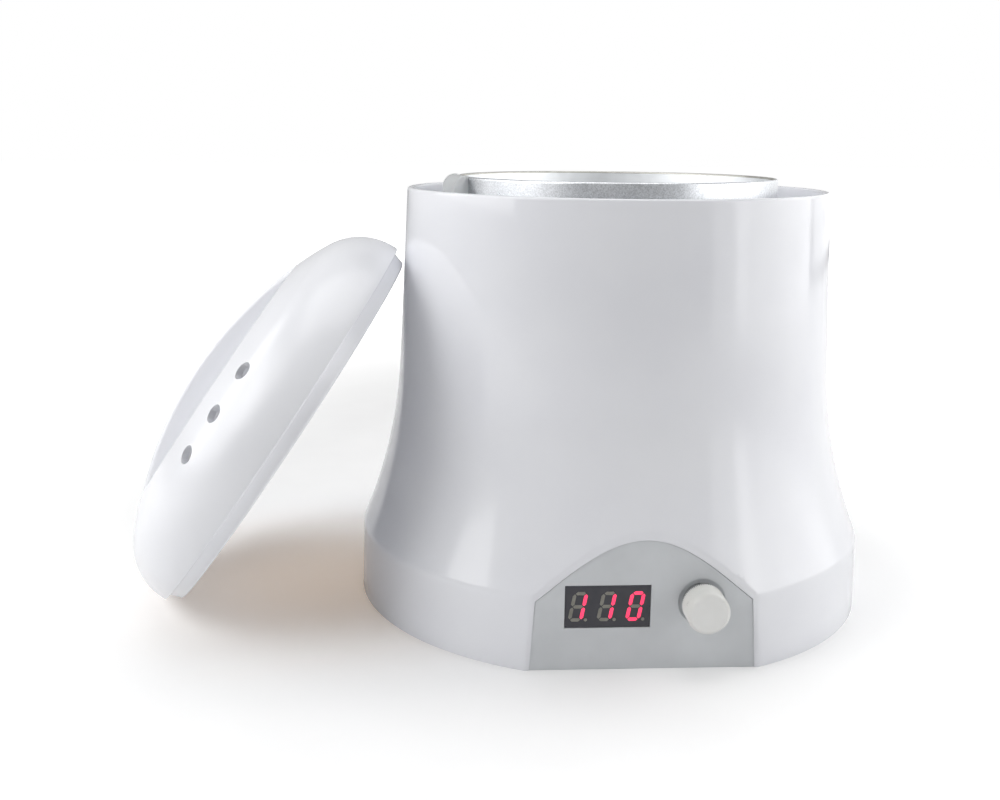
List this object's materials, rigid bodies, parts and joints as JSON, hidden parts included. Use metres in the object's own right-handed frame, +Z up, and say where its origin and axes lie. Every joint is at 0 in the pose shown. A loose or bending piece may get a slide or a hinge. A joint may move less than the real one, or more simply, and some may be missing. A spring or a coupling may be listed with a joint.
{
  "type": "wax warmer",
  "caption": "Flared round wax warmer with a flat-cut front panel, digital display, push-and-turn knob, lift-out pot and a domed lid leaning at its side.",
  "frame": {"origin": "middle of the foot ring, on the table", "axes": "+Z up, the control panel faces -Y, the lid leans at -X"},
  "size_m": [0.275, 0.1981, 0.1572],
  "materials": {
    "white_shell": "high gloss, moulded",
    "white_inner": "gloss, moulded",
    "white_lid": "high gloss, moulded",
    "panel_grey": "satin, moulded",
    "pot_aluminium": "sandblasted outside, smooth inside",
    "well_aluminium": "satin, drawn",
    "lug_plastic": "frosted, slightly translucent look",
    "dark_steel": "dark, brushed",
    "bright_steel": "zinc plated",
    "display_black": "dark, satin gloss",
    "segment_lit": "lit, glowing pink red",
    "segment_unlit": "unlit, grey",
    "board_green": "solder mask",
    "board_tan": "paper laminate",
    "encoder_metal": "zinc plated",
    "knob_white": "semi gloss, moulded",
    "foot_rubber": "matt, moulded",
    "base_plastic": "satin, moulded",
    "heater_mica": "mica, matt",
    "insulation_felt": "glass fibre felt",
    "sensor_black": "matt",
    "ceramic_buff": "matt",
    "terminal_brass": "plain",
    "transformer_iron": "laminated, varnished",
    "relay_blue": "satin",
    "capacitor_case": "satin",
    "block_green": "satin",
    "socket_ivory": "satin",
    "ribbon_grey": "satin",
    "wire_sleeve": "silicone sleeve",
    "sensor_sleeve": "satin",
    "cutout_sleeve": "satin",
    "earth_sleeve": "satin",
    "gland_plastic": "satin, moulded"
  },
  "bodies": {
    "base": {"housing": "white_shell", "inner_ring": "white_inner", "ring_screws": "bright_steel", "heating_well": "well_aluminium", "well_screws": "bright_steel", "heater_band": "heater_mica", "clamp_band": "bright_steel", "insulation_wrap": "insulation_felt", "thermal_cutout": "sensor_black", "thermal_fuse": "ceramic_buff", "temperature_sensor": "sensor_black", "sensor_nuts": "bright_steel", "earth_tag": "terminal_brass", "base_plate": "base_plastic", "feet": "foot_rubber", "base_screws": "bright_steel", "control_panel": "panel_grey", "panel_screws": "bright_steel", "display_module": "display_black", "lit_segments": "segment_lit", "unlit_segments": "segment_unlit", "display_board": "board_green", "board_screws": "bright_steel", "encoder_body": "encoder_metal", "encoder_nut": "bright_steel", "power_board": "board_tan", "power_board_screws": "bright_steel", "transformer": "transformer_iron", "relay": "relay_blue", "capacitors": "capacitor_case", "mains_fuse": "bright_steel", "terminal_block": "block_green", "board_sockets": "socket_ivory", "ribbon_cable": "ribbon_grey", "heater_leads": "wire_sleeve", "sensor_leads": "sensor_sleeve", "cutout_leads": "cutout_sleeve", "earth_lead": "earth_sleeve", "cord_gland": "gland_plastic", "cord_clamp": "gland_plastic", "clamp_screws": "bright_steel"},
    "pot_body": {"pot": "pot_aluminium", "pot_lug": "lug_plastic", "lug_rivets": "bright_steel", "lug_strap": "dark_steel"},
    "lid_body": {"lid": "white_lid"},
    "plunger_body": {"encoder_plunger": "socket_ivory"},
    "knob_body": {"knob": "knob_white", "encoder_shaft": "encoder_metal"}
  },
  "joints": [
    {"name": "pot_lift", "type": "slide", "parent": "base", "child": "pot_body", "axis": [0, 0, 1], "range_m": [0, 0.1]},
    {"name": "lid_lift", "type": "slide", "parent": "base", "child": "lid_body", "axis": [0, 0, 1], "range_m": [0, 0.16]},
    {"name": "knob_push", "type": "slide", "parent": "base", "child": "plunger_body", "axis": [0, 1, 0], "range_m": [0, 0.0005], "stiffness_N_per_m": 4000},
    {"name": "knob_turn", "type": "hinge", "parent": "plunger_body", "child": "knob_body", "pos_m": [0.0189, -0.0984, 0.0233], "axis": [0, -1, 0], "continuous": true}
  ]
}
